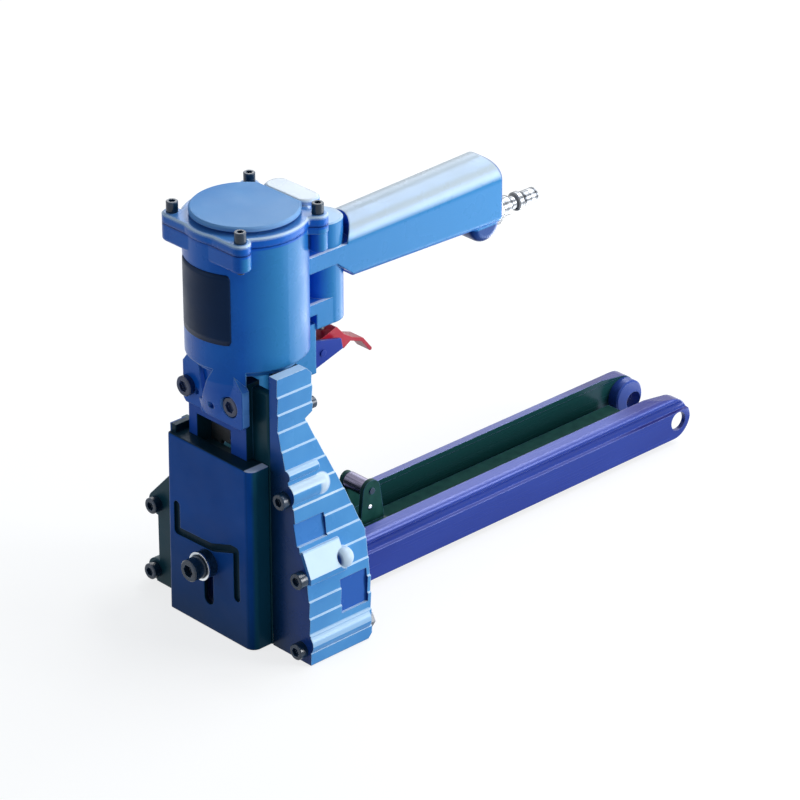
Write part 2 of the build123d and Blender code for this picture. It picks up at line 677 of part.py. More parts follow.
# Depth plate: a folded cover that slides up and down the pad and is held by the knob
def make_front_plate():
    back = FRAME_FRONT - 0.3
    front = outline(
        (PLATE_LEFT, PLATE_TOP), (PLATE_RIGHT, PLATE_TOP), (PLATE_RIGHT, PLATE_LOW),
        (PLATE_FOOT_LEFT, PLATE_LOW))
    plate = prism_y(front, PLATE_FRONT, back)
    plate = fillet(plate.edges().filter_by(Axis.Z).group_by(Axis.Y)[0].sort_by(Axis.X)[-1], 5.5)
    upright = plate.edges().filter_by(Axis.Z, tolerance=3)
    plate = fillet(upright.group_by(Axis.Y)[0].sort_by(Axis.X)[0], 2.4)
    plate -= block(
        PLATE_LEFT + PLATE_WALL, PLATE_RIGHT - PLATE_WALL, PLATE_FRONT + PLATE_WALL, back + 1,
        PLATE_LOW - 1, PLATE_TOP - PLATE_WALL)
    plate = fillet(plate.edges().group_by(Axis.Z)[-1].sort_by(Axis.Y)[0], 1.2)
    plate += block(PLATE_LEFT, PLATE_LEFT + 5.0, PLATE_FRONT + 3.0, back, PLATE_TOP - 1, PLATE_TOP + 4.7)
    gap = PAD_X + 0.3
    plate -= block(-gap, gap, PAD_FRONT - 0.3, back + 1, PLATE_TOP - 5, PLATE_TOP + 1)
    slot = Pos(0, (SLOT_LOW + KNOB_Z) / 2) * Rot(0, 0, 90) * SlotCenterToCenter(KNOB_Z - SLOT_LOW, SLOT_W)
    plate -= prism_y(slot, PLATE_FRONT - 1, PLATE_FRONT + PLATE_WALL + 1)
    return plate - prism_y(make_crease(), PLATE_FRONT - 1, PLATE_FRONT + 1.6)


def make_crease():
    """The pressed line round the knob: down, across with a step, and down again."""
    half = 2.6
    path = Polyline((-27, 72), (-27, 55), (4, 56), (21, 61.8), (25, 61.8), (25, 31))
    return make_face(offset(path, half, side=Side.BOTH))


HEAD_R = 6.8
HEAD_H = 8.4


def make_knob():
    seat = PLATE_FRONT - 0.1 - KNOB_COLLAR_T - KNOB_WASHER_T
    return front_screw(0, seat, KNOB_Z, HEAD_R, HEAD_H, 3.0, 18.0)


def make_knob_ring(r, y0, y1):
    return bar_y(r, 0, y0, y1, KNOB_Z) - bar_y(3.0 + FIT, 0, y0 - 1, y1 + 1, KNOB_Z)


def make_knob_collar():
    front = PLATE_FRONT - 0.1 - KNOB_COLLAR_T
    return make_knob_ring(8.5, front, PLATE_FRONT - 0.1)


def make_knob_washer():
    back = PLATE_FRONT - 0.1 - KNOB_COLLAR_T
    return make_knob_ring(8.8, back - KNOB_WASHER_T, back)


# Trigger valve, trigger, its bracket and pin
BRACKET_IN = 8.0
BRACKET_OUT = 10.0
TRIGGER_HALF = 5.5


def make_valve_bush():
    bush = bar_z(7.5, 0, COLUMN_Y, COLUMN_BOTTOM - 1.0, 190.0)
    return bush - bar_z(STEM_R + FIT, 0, COLUMN_Y, 160, 195)


def make_valve_spring():
    spring = bar_z(2.6, 0, COLUMN_Y, 194.2, 199.9)
    return spring - bar_z(1.6, 0, COLUMN_Y, 193, 201)


def make_valve_stem():
    tip = bar_z(STEM_TIP_R, 0, COLUMN_Y, STEM_LOW, STEM_TIP_TOP)
    tip = chamfer(tip.edges().group_by(Axis.Z)[0], 1.0)
    return tip + bar_z(STEM_R, 0, COLUMN_Y, STEM_TIP_TOP, 190.3)


def make_bracket():
    front = LUG_BACK + FIT
    wall = 2.2
    flank = outline((front, 147.0), (64.9, 153.7), (63.6, 160.4), (front, 165.5))
    bracket = prism_x(flank, -BRACKET_OUT, BRACKET_OUT)
    room = outline((front + wall, 149.8), (67.0, 156.5), (67.0, 170.0), (front + wall, 170.0))
    bracket -= prism_x(room, -BRACKET_IN, BRACKET_IN)
    return bracket - bar_x(2.0, -12, 12, PIVOT_Y, PIVOT_Z)


def make_trigger():
    sheet = 2.2
    half = TRIGGER_HALF
    spine = Polyline(
        (48.4, 160.0), (63.8, 165.0), (69.4, 158.6), (76.0, 154.3), (84.5, 151.2),
        (91.0, 143.0))
    web = prism_x(make_face(offset(spine, sheet / 2, side=Side.BOTH)), -half, half)
    cheek = outline(
        (46.8, 153.2), (64.6, 157.4), (69.6, 150.3), (76.0, 154.0), (69.4, 158.4), (63.8, 164.6),
        (46.8, 159.4))
    lever = web + prism_x(cheek, -half, -half + sheet) + prism_x(cheek, half - sheet, half)
    return lever - bar_x(2.0 + FIT, -12, 12, PIVOT_Y, PIVOT_Z)


def make_trigger_pin():
    return bar_x(2.0, -BRACKET_OUT - 0.8, BRACKET_OUT + 0.8, PIVOT_Y, PIVOT_Z)


# Air plug: thread in the handle, hexagon, grooved nipple
def make_air_plug():
    stem = spun_y(
        [(0, 176), (6.5, 176), (6.5, 200), (6.2, 201), (6.2, 208), (4.2, 210), (4.2, 213),
         (5.9, 215), (5.9, 218), (4.7, 220), (4.7, 230.8), (3.7, 231.8), (0, 231.8)], 0, PLUG_Z)
    hexagon = Pos(0, HANDLE_END, PLUG_Z) * Rot(-90, 0, 0) * extrude(RegularPolygon(9.4, 6), amount=8.5)
    return stem + hexagon - bar_y(2.6, 0, 170, 240, PLUG_Z)


# Magazine: two drawn rails with coved sides, a boss at the left tail, and the core between them
COVE_LOW = 22.0
COVE_HIGH = 29.8
COVE_DEPTH = 2.0
SHOULDER = (24.4, 33.8)
LIP_LOW = 31.4
BOSS_IN = 11.5
BOSS_R = 11.8
BOSS_Z = 18.6
TAIL_WALL = 3.0
TAIL_ROOM_R = 11.0


def rail_section():
    """Right rail from the foot of its outer wall: wall, cove, rounded shoulder, sloping top, lip."""
    cove_x = RAIL_OUT - COVE_DEPTH
    wall = Line((RAIL_OUT, RAIL_LOW), (RAIL_OUT, COVE_LOW))
    ledge = Line(wall @ 1, (cove_x, COVE_LOW + 0.5))
    cove = ThreePointArc(ledge @ 1, (cove_x - 0.2, (COVE_LOW + COVE_HIGH) / 2), (RAIL_OUT, COVE_HIGH))
    shoulder = ThreePointArc(cove @ 1, (26.95, 32.5), SHOULDER)
    inside = Polyline(
        SHOULDER, (STAPLE_X, RAIL_TOP), (STAPLE_X, LIP_LOW), (CHANNEL_X, LIP_LOW - 0.4),
        (CHANNEL_X, RAIL_LOW), (RAIL_OUT, RAIL_LOW))
    return make_face([wall, ledge, cove, shoulder, inside])


def make_rail():
    high = RAIL_TOP + 1
    heel = (TAIL_Y, RAIL_LOW)
    tip = (TAIL_END, 16.0)
    brow = (331.5, 32.5)
    nose = make_face([
        Line((MAG_FRONT, RAIL_LOW), heel),
        ThreePointArc(heel, (344.7, 7.7), tip),
        ThreePointArc(tip, (344.2, 26.2), brow),
        Polyline(brow, (308.0, high), (MAG_FRONT, high), (MAG_FRONT, RAIL_LOW)),
    ])
    rail = prism_y(rail_section(), MAG_FRONT, TAIL_END + 1) & prism_x(nose, STAPLE_X - 1, RAIL_OUT + 1)
    rail -= block(CHANNEL_X + 2.2, RAIL_OUT - 2.4, MAG_FRONT - 1, TAIL_Y - 24, RAIL_LOW - 1, 20.0)
    return rail - bar_x(TAIL_HOLE_R, STAPLE_X - 1, RAIL_OUT + 1, *TAIL_HOLE)


def make_right_rail():
    """The right tail is bored out from inside to a thin wall round its hole."""
    return make_rail() - bar_x(TAIL_ROOM_R, STAPLE_X - 1, RAIL_OUT - TAIL_WALL, *TAIL_HOLE)


def make_tail_boss():
    boss = bar_x(BOSS_R, BOSS_IN, CHANNEL_X, TAIL_Y, BOSS_Z)
    boss = chamfer(boss.edges().group_by(Axis.X)[0], 1.0)
    return boss - bar_x(TAIL_HOLE_R, BOSS_IN - 1, CHANNEL_X + 1, *TAIL_HOLE)


def make_core():
    core = block(-CHANNEL_X, CHANNEL_X, MAG_FRONT, CORE_END, RAIL_LOW, RAIL_LOW + 2.5)
    core += block(-15.0, 15.0, MAG_FRONT, CORE_END, RAIL_LOW + 2, CORE_TOP)
    return core - block(-12.5, 12.5, MAG_FRONT - 1, CORE_END + 1, RAIL_LOW - 1, CORE_TOP - 2.5)


# Pusher: a saddle on the core with two ears that hold the wound feed spring
EAR_OUT = 11.5
EAR_IN = 8.6
FEED_R = 5.4


def make_pusher():
    half = STAPLE_X - 0.4
    saddle = block(-half, half, PUSHER_FRONT, PUSHER_BACK, CORE_TOP + 0.3, CORE_TOP + 8.0)
    saddle += block(-half, half, PUSHER_BACK - 30, PUSHER_BACK, CORE_TOP + 7, CORE_TOP + 13.0)
    saddle = chamfer(saddle.edges().filter_by(Axis.X).group_by(Axis.Y)[-1], 2.0)
    foot = Pos(FEED_Y + 0.5, CORE_TOP + 12) * Rectangle(19, 6)
    pusher = saddle
    for ring_r, x in ((6.9, EAR_IN), (5.0, -EAR_OUT)):
        ring = Pos(FEED_Y, FEED_Z) * Circle(ring_r)
        pusher += prism_x(make_hull(ring.edges() + foot.edges()), x, x + EAR_OUT - EAR_IN)
    return pusher - bar_x(2.0, -20, 20, FEED_Y, FEED_Z)


def make_feed_spring():
    width = EAR_IN - 0.2
    roll = bar_x(FEED_R, -width, width, FEED_Y, FEED_Z)
    roll = chamfer(roll.edges().filter_by(GeomType.CIRCLE), 0.8)
    return roll - bar_x(2.0 + FIT, -20, 20, FEED_Y, FEED_Z)


def make_feed_pin():
    return bar_x(2.0, -EAR_OUT - 0.8, EAR_OUT + 0.8, FEED_Y, FEED_Z)


# Every piece goes to its own file
os.makedirs("parts", exist_ok=True)

save("body_casting", make_casting())
save("cylinder_sleeve", make_ring(SLEEVE_OUT_R, SLEEVE_IN_R, FLOOR_TOP, CYL_TOP))
save("cap_gasket", make_gasket())
save("cylinder_cap", make_cap())
save("exhaust_cover", make_cover())
save("cap_screws", *make_cap_screws())
save("bumper", make_bumper())
save("rod_bush", make_rod_bush())
save("piston", make_piston())
save("piston_seal", make_piston_seal())
save("piston_rod", make_rod())
save("piston_nut", make_piston_nut())
save("driver_yoke", make_yoke())
save("yoke_rollers", *pair(make_roller()))
save("driver_blade", make_blade())
save("blade_pin", make_blade_pin())
save("clincher_right", make_clincher())
save("clincher_left", mirrored(make_clincher()))
save("clincher_pins", *pair(make_clincher_pin()))
spacers = pair(make_clincher_spacer(FRAME_FRONT + FRAME_T + 0.1, CLINCH_FRONT - 0.2))
save("clincher_spacers", *spacers, *pair(make_clincher_spacer(CLINCH_BACK + 0.2, 2.4)))
save("front_frame", make_front_frame())
save("rear_frame", make_rear_frame())
save("nose_plate", make_nose_plate())
save("neck_screws", *make_neck_screws())
save("side_housing_right", make_right_housing())
save("side_housing_left", mirrored(make_left_housing()))
save("housing_bolts", *make_housing_bolts())
save("housing_nuts", *pair(make_housing_nut()))
save("housing_rear_screw", make_rear_screw())
save("front_plate", make_front_plate())
save("depth_knob", make_knob())
save("knob_collar", make_knob_collar())
save("knob_washer", make_knob_washer())
save("valve_bush", make_valve_bush())
save("valve_spring", make_valve_spring())
save("valve_stem", make_valve_stem())
save("trigger_bracket", make_bracket())
save("trigger", make_trigger())
save("trigger_pin", make_trigger_pin())
save("air_plug", make_air_plug())
save("magazine_rail_right", make_right_rail())
save("magazine_rail_left", mirrored(make_rail()))
save("tail_boss", mirrored(make_tail_boss()))
save("magazine_core", make_core())
save("pusher", make_pusher())
save("feed_spring", make_feed_spring())
save("feed_pin", make_feed_pin())
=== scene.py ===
import math
import bmesh
import bpy
from mathutils import Matrix, Vector


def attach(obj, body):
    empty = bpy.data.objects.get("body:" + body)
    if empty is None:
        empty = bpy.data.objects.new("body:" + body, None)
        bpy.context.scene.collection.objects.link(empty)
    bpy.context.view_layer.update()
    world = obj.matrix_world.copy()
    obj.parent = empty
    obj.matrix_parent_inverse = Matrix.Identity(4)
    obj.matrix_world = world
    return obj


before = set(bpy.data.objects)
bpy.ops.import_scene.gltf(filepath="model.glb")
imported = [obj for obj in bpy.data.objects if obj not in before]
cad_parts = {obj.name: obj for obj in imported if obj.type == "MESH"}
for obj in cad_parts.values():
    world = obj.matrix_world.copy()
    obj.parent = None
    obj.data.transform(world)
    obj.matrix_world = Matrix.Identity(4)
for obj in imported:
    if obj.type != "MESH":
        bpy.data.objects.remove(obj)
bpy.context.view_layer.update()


# Body casting: cylinder, valve column, webs, handle and front flange are one aluminium die casting.
# It is sprayed with glossy blue enamel with a fine peel; its paler edges are thin paint and painted
# highlight.
# Painted highlights make the tops of the handle and the column and the webs' rims pale.
# Its right-facing sides and the flange's side are painted paler as lit sides.
# The heel, the handle's end and the flange's front are painted darker as shade.
def seen(red, green, blue):
    """A colour as the eye sees it, 0 to 255, turned into shader units."""
    parts = [c / 255 for c in (red, green, blue)]
    return [c / 12.92 if c < 0.04045 else ((c + 0.055) / 1.055) ** 2.4 for c in parts] + [1.0]


def blank_finish(name):
    finish = bpy.data.materials.new(name)
    finish.use_nodes = True
    return finish, finish.node_tree, finish.node_tree.nodes["Principled BSDF"]


def mottle(tree, size_mm, detail=3.0, stretch=(1, 1, 1)):
    """Noise fixed to the part, with blotches of about this size."""
    place = tree.nodes.new("ShaderNodeTexCoord")
    turn = tree.nodes.new("ShaderNodeMapping")
    turn.inputs["Scale"].default_value = stretch
    noise = tree.nodes.new("ShaderNodeTexNoise")
    noise.inputs["Scale"].default_value = 1000 / size_mm
    noise.inputs["Detail"].default_value = detail
    tree.links.new(place.outputs["Object"], turn.inputs["Vector"])
    tree.links.new(turn.outputs["Vector"], noise.inputs["Vector"])
    return noise.outputs["Fac"]


def shade_between(tree, source, low, high, start=0.35, end=0.65):
    ramp = tree.nodes.new("ShaderNodeValToRGB")
    ramp.color_ramp.elements[0].position = start
    ramp.color_ramp.elements[0].color = low
    ramp.color_ramp.elements[1].position = end
    ramp.color_ramp.elements[1].color = high
    tree.links.new(source, ramp.inputs["Fac"])
    return ramp.outputs["Color"]


def spread(tree, noise, low, high):
    """Noise, most of which lies between 0.3 and 0.7, carried over to a range of values."""
    scale = tree.nodes.new("ShaderNodeMapRange")
    scale.inputs["From Min"].default_value = 0.3
    scale.inputs["From Max"].default_value = 0.7
    scale.inputs["To Min"].default_value = low
    scale.inputs["To Max"].default_value = high
    tree.links.new(noise, scale.inputs["Value"])
    return scale.outputs["Result"]


def mixed(tree, mask, under, over):
    """One colour over another where the mask is 1; the upper one can be a plain colour."""
    blend = tree.nodes.new("ShaderNodeMix")
    blend.data_type = "RGBA"
    tree.links.new(mask, blend.inputs["Factor"])
    tree.links.new(under, blend.inputs["A"])
    if isinstance(over, list):
        blend.inputs["B"].default_value = over
    else:
        tree.links.new(over, blend.inputs["B"])
    return blend.outputs["Result"]


def edge_mask(tree, width_mm, grit, reach):
    """A mask that is 1 on the edges and broken up by grit, and the normal of the eased edge."""
    eased = tree.nodes.new("ShaderNodeBevel")
    eased.samples = 6
    eased.inputs["Radius"].default_value = width_mm / 1000
    face = tree.nodes.new("ShaderNodeNewGeometry")
    turned = tree.nodes.new("ShaderNodeVectorMath")
    turned.operation = "DOT_PRODUCT"
    tree.links.new(eased.outputs["Normal"], turned.inputs[0])
    tree.links.new(face.outputs["Normal"], turned.inputs[1])
    edge_level = tree.nodes.new("ShaderNodeMath")
    edge_level.operation = "MULTIPLY_ADD"
    edge_level.inputs[1].default_value = reach
    tree.links.new(grit, edge_level.inputs[0])
    tree.links.new(turned.outputs["Value"], edge_level.inputs[2])
    mask = shade_between(tree, edge_level.outputs[0], (1, 1, 1, 1), (0, 0, 0, 1), start=0.9, end=1.0)
    return mask, eased.outputs["Normal"]


def bumped(tree, height, depth_mm, normal=None):
    bump = tree.nodes.new("ShaderNodeBump")
    bump.inputs["Strength"].default_value = 1.0
    bump.inputs["Distance"].default_value = depth_mm / 1000
    tree.links.new(height, bump.inputs["Height"])
    if normal:
        tree.links.new(normal, bump.inputs["Normal"])
    return bump.outputs["Normal"]


# The enamel's edge colour is partly thinner paint and partly a painted highlight on the edges.
def enamel(name, deep, bright, edge, rough, tint, gloss=0.5, edge_mm=0.8, peel_mm=0.02, grip=0.16):
    """Sprayed paint: cloudy colour, paler edges that are partly painted highlight, uneven gloss and a fine
    orange peel.
    """
    finish, tree, shader = blank_finish(name)
    cloud = mottle(tree, size_mm=38.0)
    peel = mottle(tree, size_mm=1.6, detail=2.0)
    mask, eased = edge_mask(tree, edge_mm, mottle(tree, size_mm=5.0), grip)
    paint = shade_between(tree, cloud, deep, bright)
    tree.links.new(mixed(tree, mask, paint, edge), shader.inputs["Base Color"])
    tree.links.new(spread(tree, mottle(tree, size_mm=14.0), *rough), shader.inputs["Roughness"])
    tree.links.new(bumped(tree, peel, peel_mm, eased), shader.inputs["Normal"])
    shader.inputs["Specular Tint"].default_value = tint
    shader.inputs["Specular IOR Level"].default_value = gloss
    return finish


def dress(finish, *names):
    for name in names:
        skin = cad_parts[name].data.materials
        if len(skin):
            skin[0] = finish
        else:
            skin.append(finish)


def along(tree, way, axis, low, high):
    """0 before one place and 1 past another, by the spot on the part or the way its face looks."""
    place = tree.nodes.new("ShaderNodeTexCoord")
    ways = tree.nodes.new("ShaderNodeSeparateXYZ")
    reach = tree.nodes.new("ShaderNodeMapRange")
    reach.inputs["From Min"].default_value = low
    reach.inputs["From Max"].default_value = high
    tree.links.new(place.outputs[way], ways.inputs[0])
    tree.links.new(ways.outputs[axis], reach.inputs["Value"])
    return reach.outputs["Result"]


def repaint(finish, mask, colour):
    """Another colour over the paint where the mask is 1."""
    tree = finish.node_tree
    paint = tree.nodes["Principled BSDF"].inputs["Base Color"]
    tree.links.new(mixed(tree, mask, paint.links[0].from_socket, colour), paint)


def all_of(tree, first, *more):
    """1 only where every mask is 1."""
    for mask in more:
        product = tree.nodes.new("ShaderNodeMath")
        product.operation = "MULTIPLY"
        tree.links.new(first, product.inputs[0])
        tree.links.new(mask, product.inputs[1])
        first = product.outputs[0]
    return first


BLUR, FADE = 0.001, 0.004
SIDEWAYS, LEVEL, UPWARD = (0.7, 0.98), (0.6, 0.8), (0.12, 0.4)
FORWARD, BACKWARD = (-0.6, -0.85), (0.12, 0.45)
BARREL_BLUE = seen(28, 98, 196)
SEAM = 0.251
BARREL_BRIM = (SEAM - 0.0016, SEAM - 0.0012)
WEB_TOPS_AND_SIDES = ((0.191, 0.013), (0.222, 0.0148))
WEB_RIM = 0.002
COLUMN_FRONT, COLUMN_BACK, GRIP_LOW = 0.044, 0.064, 0.2225
HEEL_FRONT, HEEL_SIDE, HANDLE_END = 0.162, 0.1972, 0.172
FLANGE_TOP, FLANGE_BACK = 0.164, -0.019
casting_enamel = enamel(
    "casting_enamel", seen(24, 94, 192), seen(36, 111, 206), seen(146, 186, 228), rough=(0.24, 0.34),
    tint=(0.14, 0.4, 1.0, 1.0), edge_mm=1.2, grip=0.12)
tree = casting_enamel.node_tree
# Painted light: faces that look to the right are painted paler, as lit sides.
repaint(casting_enamel, along(tree, "Normal", "X", *SIDEWAYS), seen(50, 128, 184))
repaint(casting_enamel, along(tree, "Object", "Z", *BARREL_BRIM), BARREL_BLUE)
# Painted highlight: the webs' top outer rims are painted near white.
for web_top, web_side in WEB_TOPS_AND_SIDES:
    rim = all_of(
        tree, along(tree, "Normal", "Z", *LEVEL),
        along(tree, "Object", "X", web_side - WEB_RIM - BLUR, web_side - WEB_RIM),
        along(tree, "Object", "Z", web_top - 2 * BLUR, web_top - BLUR),
        along(tree, "Object", "Z", web_top + 2 * BLUR, web_top + BLUR))
    repaint(casting_enamel, rim, seen(226, 238, 248))
# Painted highlight: the column's top and the handle's top are painted pale.
on_grip = along(tree, "Object", "Z", GRIP_LOW, GRIP_LOW + BLUR / 2)
looks_up = along(tree, "Normal", "Z", *UPWARD)
column_top = along(tree, "Object", "Y", COLUMN_FRONT - BLUR, COLUMN_FRONT)
repaint(casting_enamel, all_of(tree, on_grip, looks_up, column_top), seen(176, 208, 230))
past_column = along(tree, "Object", "Y", COLUMN_BACK, COLUMN_BACK + 2 * FADE)
repaint(casting_enamel, all_of(tree, on_grip, looks_up, past_column), seen(190, 202, 208))
# Painted shade under the handle's heel.
heel_shade = all_of(
    tree, along(tree, "Object", "Y", HEEL_FRONT, HEEL_FRONT + FADE),
    along(tree, "Object", "Z", HEEL_SIDE, HEEL_SIDE - BLUR))
repaint(casting_enamel, heel_shade, seen(6, 48, 116))
# Painted shade on the handle's backward-facing end.
end_shade = all_of(
    tree, along(tree, "Object", "Y", HANDLE_END, HANDLE_END + FADE),
    along(tree, "Normal", "Y", *BACKWARD))
repaint(casting_enamel, end_shade, seen(24, 82, 160))
on_flange = along(tree, "Object", "Z", FLANGE_TOP + FADE, FLANGE_TOP - FADE)
# Painted light: the flange's right side is painted pale.
flange_side_light = all_of(
    tree, on_flange, along(tree, "Normal", "X", *SIDEWAYS),
    along(tree, "Object", "Y", FLANGE_BACK, FLANGE_BACK - BLUR))
repaint(casting_enamel, flange_side_light, seen(124, 180, 252))
# Painted shade: the flange's front face is painted a deeper blue.
flange_front_shade = all_of(tree, on_flange, along(tree, "Normal", "Y", *FORWARD))
repaint(casting_enamel, flange_front_shade, seen(0, 90, 192))
dress(casting_enamel, "body_casting")


# Cylinder sleeve, bumper and rod bush: pressed into the casting before the piston goes in.
# The sleeve is honed steel, the bumper moulded rubber and the bush turned bronze.
def turned_metal(
        name, dark, light, rough, grain_mm=0.5, stretch=(1, 1, 1), stain_mm=22.0, stain_stretch=(1, 1, 1)):
    """Bare metal with fine tool marks and a little tarnish."""
    finish, tree, shader = blank_finish(name)
    marks = mottle(tree, grain_mm, detail=4.0, stretch=stretch)
    tarnish = mottle(tree, stain_mm, stretch=stain_stretch)
    mask, eased = edge_mask(tree, width_mm=0.4, grit=marks, reach=0.08)
    metal = shade_between(tree, tarnish, dark, light)
    tree.links.new(mixed(tree, mask, metal, light), shader.inputs["Base Color"])
    tree.links.new(spread(tree, marks, *rough), shader.inputs["Roughness"])
    tree.links.new(bumped(tree, marks, depth_mm=0.015, normal=eased), shader.inputs["Normal"])
    shader.inputs["Metallic"].default_value = 1.0
    return finish


def moulded_rubber(name, dark, light):
    finish, tree, shader = blank_finish(name)
    pores = mottle(tree, size_mm=0.8, detail=4.0)
    tree.links.new(shade_between(tree, mottle(tree, size_mm=12.0), dark, light), shader.inputs["Base Color"])
    tree.links.new(spread(tree, pores, low=0.6, high=0.8), shader.inputs["Roughness"])
    tree.links.new(bumped(tree, pores, depth_mm=0.03), shader.inputs["Normal"])
    return finish


bright_steel = turned_metal("bright_steel", seen(150, 154, 160), seen(205, 208, 212), rough=(0.22, 0.4))
turned_bronze = turned_metal("turned_bronze", seen(140, 98, 52), seen(186, 140, 82), rough=(0.28, 0.45))
black_rubber = moulded_rubber("black_rubber", seen(18, 20, 22), seen(30, 32, 34))
dress(bright_steel, "cylinder_sleeve")
dress(black_rubber, "bumper")
dress(turned_bronze, "rod_bush")


# Piston group: an aluminium piston with a moulded seal, nutted to a ground steel rod.
# It carries the yoke, so rod, nut and seal move with the driver.
plain_aluminium = turned_metal(
    "plain_aluminium", seen(168, 170, 172), seen(206, 208, 210), rough=(0.3, 0.45))
dress(plain_aluminium, "piston")
dress(black_rubber, "piston_seal")
dress(bright_steel, "piston_rod", "piston_nut")


# Cap, gasket and cover: the cap is a blue casting drawn down on a thin gasket by four screws.
# The gasket's edge shows as a navy seam; the cap's upward faces are painted paler as lit tops.
# Its rim edge and chamfer carry painted highlights, and the tongue's top is near white.
# The pressed cover on top has the same enamel in a paler and flatter shade, painted lighter to its right as
# lit.
CAP_BRIM = (SEAM + 0.0026, SEAM + 0.002)
CAP_RIM = (SEAM + 0.0042, SEAM + 0.005)
CAP_UPWARD, CHAMFER_FROM, CHAMFER_TO = (0.3, 0.7), (0.1, 0.25), (0.97, 0.9)
TONGUE_TOP = (0.2604, 0.2607)
COVER_LEFT_TO_RIGHT = (-0.03, 0.05)
gasket_enamel = enamel(
    "gasket_enamel", seen(12, 48, 120), seen(18, 58, 136), seen(24, 70, 150), rough=(0.3, 0.4),
    tint=(0.06, 0.32, 1.0, 1.0), gloss=0.3)
cap_enamel = enamel(
    "cap_enamel", seen(24, 94, 192), seen(36, 111, 206), seen(190, 214, 240), rough=(0.2, 0.3),
    tint=(0.1, 0.4, 1.0, 1.0), edge_mm=2.4, grip=0.05)
tree = cap_enamel.node_tree
repaint(cap_enamel, along(tree, "Object", "Z", *CAP_BRIM), BARREL_BLUE)
# Painted light: the cap's upward faces are paler, as lit tops.
repaint(cap_enamel, along(tree, "Normal", "Z", *CAP_UPWARD), seen(76, 136, 206))
# Painted highlight along the cap's top rim edge and on its chamfer.
edges, _ = edge_mask(tree, width_mm=3.6, grit=mottle(tree, size_mm=5.0), reach=0.0)
repaint(cap_enamel, all_of(tree, edges, along(tree, "Object", "Z", *CAP_RIM)), seen(196, 218, 242))
chamfer_highlight = all_of(
    tree, along(tree, "Normal", "Z", *CHAMFER_FROM), along(tree, "Normal", "Z", *CHAMFER_TO))
repaint(cap_enamel, chamfer_highlight, seen(206, 224, 244))
repaint(cap_enamel, along(tree, "Object", "Z", *TONGUE_TOP), seen(226, 231, 234))
pale_enamel = enamel(
    "pale_enamel", seen(76, 140, 206), seen(92, 154, 216), seen(182, 208, 236), rough=(0.46, 0.58),
    tint=(0.6, 0.8, 1.0, 1.0), gloss=0.2)
# Painted light: the cover is lighter towards its right.
cover_right_light = along(pale_enamel.node_tree, "Object", "X", *COVER_LEFT_TO_RIGHT)
repaint(pale_enamel, cover_right_light, seen(136, 178, 224))
dress(cap_enamel, "cylinder_cap")
dress(gasket_enamel, "cap_gasket")
dress(pale_enamel, "exhaust_cover")


# Socket screws: heat-treated steel with a black oxide skin, rubbed grey on the rims.
# The same finish is on the housing's bolts and nuts; the neck screws caught some blue spray.
def black_oxide(name, dark, light, rim, rough=(0.18, 0.36), gloss=0.5):
    finish, tree, shader = blank_finish(name)
    bloom = mottle(tree, size_mm=6.0)
    grit = mottle(tree, size_mm=0.6, detail=4.0)
    mask, eased = edge_mask(tree, width_mm=0.5, grit=grit, reach=0.1)
    skin = shade_between(tree, bloom, dark, light)
    tree.links.new(mixed(tree, mask, skin, rim), shader.inputs["Base Color"])
    tree.links.new(spread(tree, bloom, *rough), shader.inputs["Roughness"])
    tree.links.new(bumped(tree, grit, depth_mm=0.012, normal=eased), shader.inputs["Normal"])
    shader.inputs["Specular IOR Level"].default_value = gloss
    return finish


screw_black = black_oxide("screw_black", seen(12, 40, 60), seen(22, 52, 78), seen(104, 128, 158))
sprayed_black = black_oxide("sprayed_black", seen(14, 36, 72), seen(22, 48, 92), seen(70, 104, 168))
dress(screw_black, "cap_screws", "housing_bolts", "housing_nuts", "housing_rear_screw")
dress(sprayed_black, "neck_screws")


# Foil: a plain dark foil with nothing on it, stuck round the front of the cylinder.
# It is a thin curved sheet with rounded corners, lying a hair above the enamel.
FOIL_R = 0.03612
FOIL_HALF_TURN = math.radians(34.5)
FOIL_LOW, FOIL_HIGH = 0.1905, 0.2345
FOIL_CORNER = 0.0025
FOIL_THICK = 0.00015


def smooth_piece(name, shape):
    """An object in the scene from a finished shape, shaded smooth."""
    mesh = bpy.data.meshes.new(name)
    shape.to_mesh(mesh)
    shape.free()
    for face in mesh.polygons:
        face.use_smooth = True
    piece = bpy.data.objects.new(name, mesh)
    bpy.context.scene.collection.objects.link(piece)
    return piece


def curved_foil(name):
    half = FOIL_R * FOIL_HALF_TURN
    middle = (FOIL_LOW + FOIL_HIGH) / 2
    tall = (FOIL_HIGH - FOIL_LOW) / 2
    rows, columns = 12, 36
    sheet = bmesh.new()
    grid = []
    for i in range(columns + 1):
        across = -half + 2 * half * i / columns
        inset = max(0.0, abs(across) - (half - FOIL_CORNER))
        reach = tall - FOIL_CORNER + math.sqrt(max(0.0, FOIL_CORNER ** 2 - inset ** 2))
        turn = across / FOIL_R
        line = []
        for j in range(rows + 1):
            z = middle - reach + 2 * reach * j / rows
            line.append(sheet.verts.new((FOIL_R * math.sin(turn), -FOIL_R * math.cos(turn), z)))
        grid.append(line)
    for i in range(columns):
        for j in range(rows):
            sheet.faces.new((grid[i][j], grid[i + 1][j], grid[i + 1][j + 1], grid[i][j + 1]))
    piece = smooth_piece(name, sheet)
    thick = piece.modifiers.new("foil", "SOLIDIFY")
    thick.thickness = FOIL_THICK
    thick.offset = 1.0
    return piece


foil = curved_foil("blank_name_foil")
foil_print = enamel(
    "foil_print", seen(14, 34, 62), seen(20, 42, 74), seen(36, 66, 112), rough=(0.34, 0.46),
    tint=(0.3, 0.5, 0.9, 1.0), gloss=0.2, edge_mm=0.3, peel_mm=0.008)
foil.data.materials.append(foil_print)
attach(foil, "tool")


